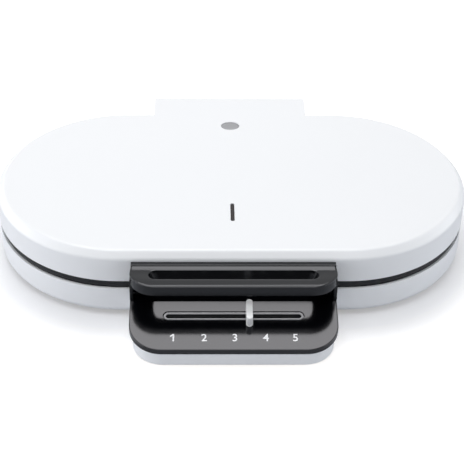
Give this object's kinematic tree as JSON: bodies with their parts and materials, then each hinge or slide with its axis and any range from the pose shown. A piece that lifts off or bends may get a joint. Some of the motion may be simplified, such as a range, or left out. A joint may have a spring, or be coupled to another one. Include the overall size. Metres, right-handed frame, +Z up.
{
  "type": "double waffle maker",
  "caption": "Slim oval countertop waffle maker: hinged lid over round heart-pattern moulds, front handle, sloping control cover with a sliding heat selector.",
  "frame": {"origin": "on the table, under the middle of the machine's overall box", "axes": "+X to the right along the long side, +Y to the hinge at the back, +Z up"},
  "size_m": [0.46, 0.352, 0.0748],
  "materials": {
    "white_shell": "smooth satin white",
    "white_knob": "smooth white",
    "gloss_black": "polished black",
    "matt_black": "moulded matt black",
    "nonstick": "dark non-stick coating on cast aluminium",
    "element_steel": "heat-tinted steel tube",
    "zinc_steel": "zinc plated",
    "sheet_aluminium": "plain sheet",
    "brushed_badge": "brushed, bare",
    "grey_trim": "satin grey",
    "smoked_lens": "smoked translucent",
    "board_green": "solder mask",
    "ceramic_body": "unglazed ceramic",
    "foot_rubber": "matt rubber"
  },
  "bodies": {
    "base": {"base_shell": "white_shell", "control_cover": "gloss_black", "slide_potentiometer": "matt_black", "power_relay": "matt_black", "hinge_block_left": "matt_black", "hinge_block_right": "matt_black", "lead_sleeve_base": "matt_black", "cord_gland": "matt_black", "terminal_block": "matt_black", "lower_cooking_plate": "nonstick", "lower_element_left": "element_steel", "lower_element_right": "element_steel", "temperature_sensor": "zinc_steel", "hinge_pin_left": "zinc_steel", "hinge_pin_right": "zinc_steel", "cover_screw_left": "zinc_steel", "cover_screw_right": "zinc_steel", "lower_plate_screw_1": "zinc_steel", "lower_plate_screw_2": "zinc_steel", "lower_plate_screw_3": "zinc_steel", "lower_plate_screw_4": "zinc_steel", "foot_screw_1": "zinc_steel", "foot_screw_2": "zinc_steel", "foot_screw_3": "zinc_steel", "foot_screw_4": "zinc_steel", "lower_heat_shield": "sheet_aluminium", "slot_bezel": "grey_trim", "control_board": "board_green", "lower_thermal_fuse": "ceramic_body", "rubber_foot_1": "foot_rubber", "rubber_foot_2": "foot_rubber", "rubber_foot_3": "foot_rubber", "rubber_foot_4": "foot_rubber"},
    "lid": {"lid_shell": "white_shell", "upper_cooking_plate": "nonstick", "upper_element_left": "element_steel", "upper_element_right": "element_steel", "upper_heat_shield": "sheet_aluminium", "upper_thermal_fuse": "ceramic_body", "upper_plate_screw_1": "zinc_steel", "upper_plate_screw_2": "zinc_steel", "upper_plate_screw_3": "zinc_steel", "upper_plate_screw_4": "zinc_steel", "lid_handle": "gloss_black", "handle_screw_left": "zinc_steel", "handle_screw_right": "zinc_steel", "lamp_window": "smoked_lens", "lamp_holder": "matt_black", "badge_plate": "brushed_badge", "lid_hinge_arm_left": "matt_black", "lid_hinge_arm_right": "matt_black", "lead_sleeve_lid": "matt_black"},
    "slider": {"slider_knob": "white_knob", "slider_stem": "zinc_steel", "knob_lens": "grey_trim"}
  },
  "joints": [
    {"name": "lid_hinge", "type": "hinge", "parent": "base", "child": "lid", "pos_m": [0, 0.16, 0.036], "axis": [-1, 0, 0], "range_deg": [0, 100]},
    {"name": "heat_slider", "type": "slide", "parent": "base", "child": "slider", "axis": [1, 0, 0], "range_m": [-0.0695, 0.0411]}
  ]
}
